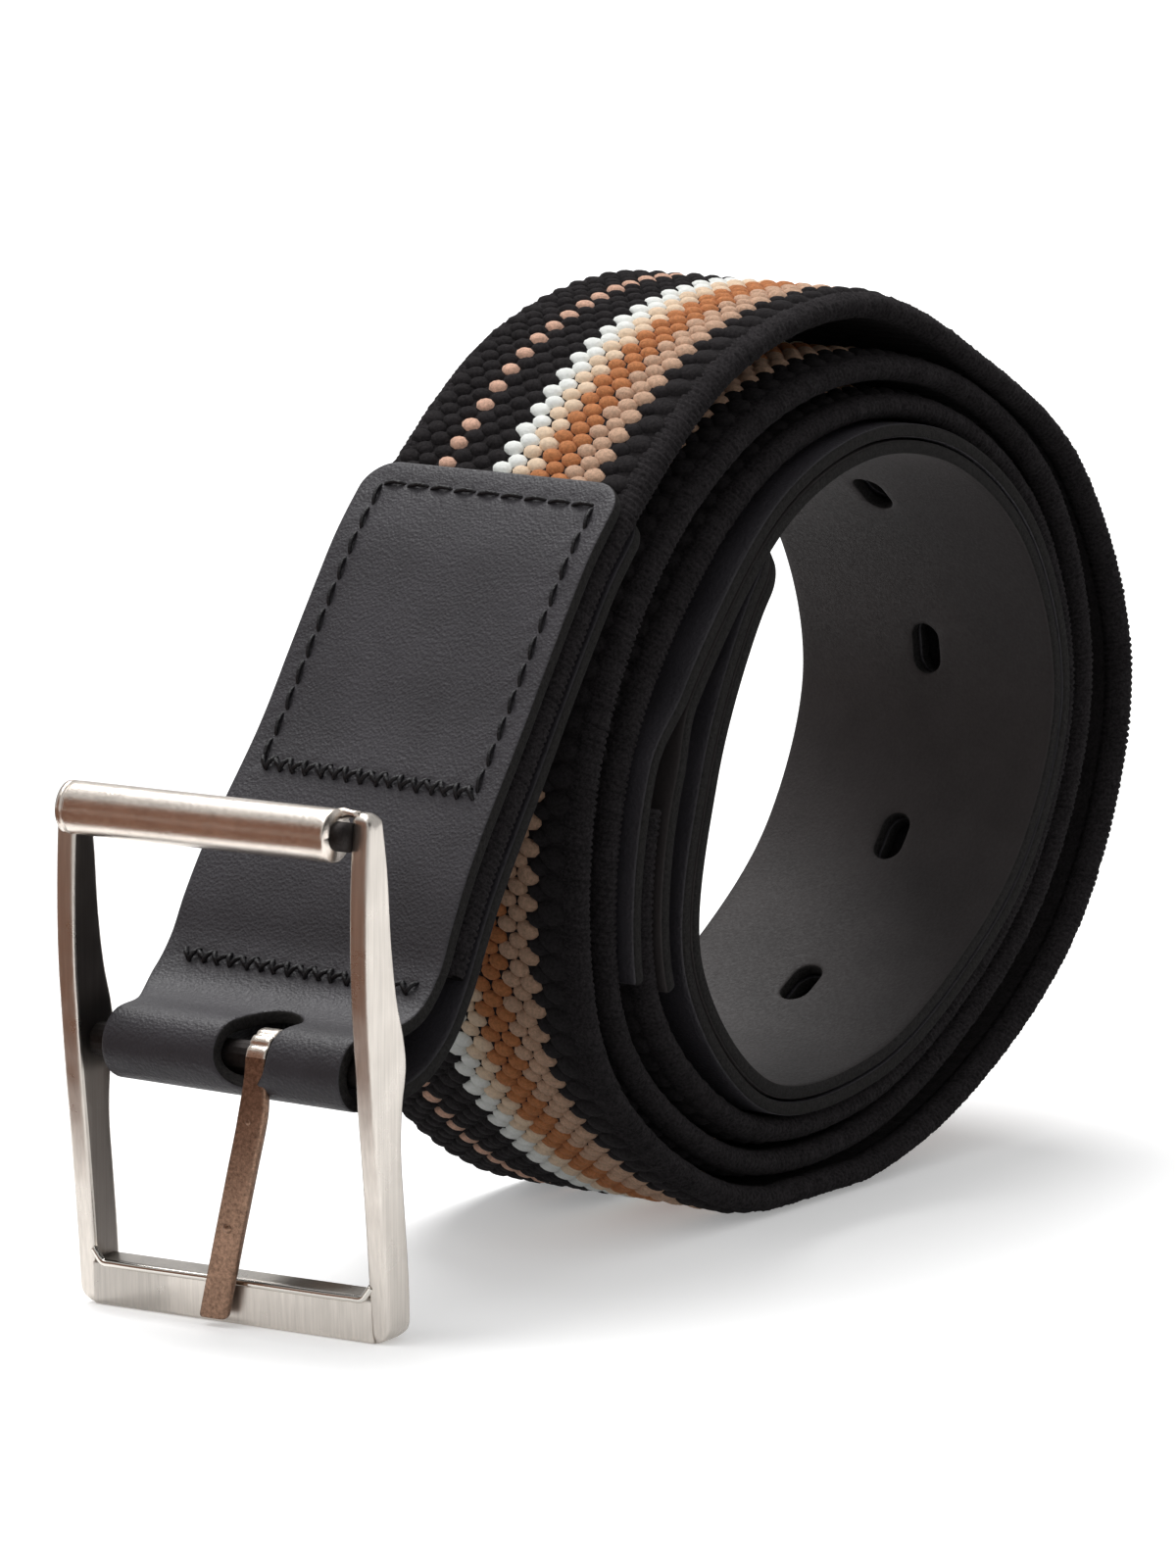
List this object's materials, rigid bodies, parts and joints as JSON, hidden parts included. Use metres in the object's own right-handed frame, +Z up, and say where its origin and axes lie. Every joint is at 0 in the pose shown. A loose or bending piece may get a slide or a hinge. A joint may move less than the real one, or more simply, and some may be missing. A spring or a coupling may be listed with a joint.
{
  "type": "elastic belt",
  "caption": "Striped stretch webbing belt rolled into a standing coil, with a perforated leather end and a leather tab that holds a rectangular frame buckle with a prong.",
  "frame": {"origin": "at floor level, under the middle of the bounding box", "axes": "+Z up, belt width along X, the buckle at the -Y end and the coil behind it, its hollow open along X"},
  "size_m": [0.0404, 0.1616, 0.1045],
  "materials": {
    "webbing": "raised stretch yarn in lengthwise stripes of black, peach, white, cream, orange and tan",
    "grained_leather": "black, finely grained, semi-matte",
    "smooth_leather": "dark grey-brown, smooth, matte",
    "brushed_nickel": "satin nickel",
    "dark_nickel": "satin nickel, a little darker"
  },
  "bodies": {
    "belt": {"webbing": "webbing", "buckle_tab": "grained_leather", "billet_face": "grained_leather", "billet_lining": "smooth_leather"},
    "buckle": {"buckle_frame": "brushed_nickel", "buckle_bar": "dark_nickel"},
    "prong": {"prong": "dark_nickel"}
  },
  "joints": [
    {"name": "frame_swing", "type": "hinge", "parent": "belt", "child": "buckle", "pos_m": [-0.00001, -0.07206, 0.02955], "axis": [0.9969, 0.0785, 0], "range_deg": [-38, 30]},
    {"name": "prong_swing", "type": "hinge", "parent": "buckle", "child": "prong", "pos_m": [-0.00001, -0.07206, 0.02955], "axis": [0.9969, 0.0785, 0], "range_deg": [-150, 0]}
  ]
}
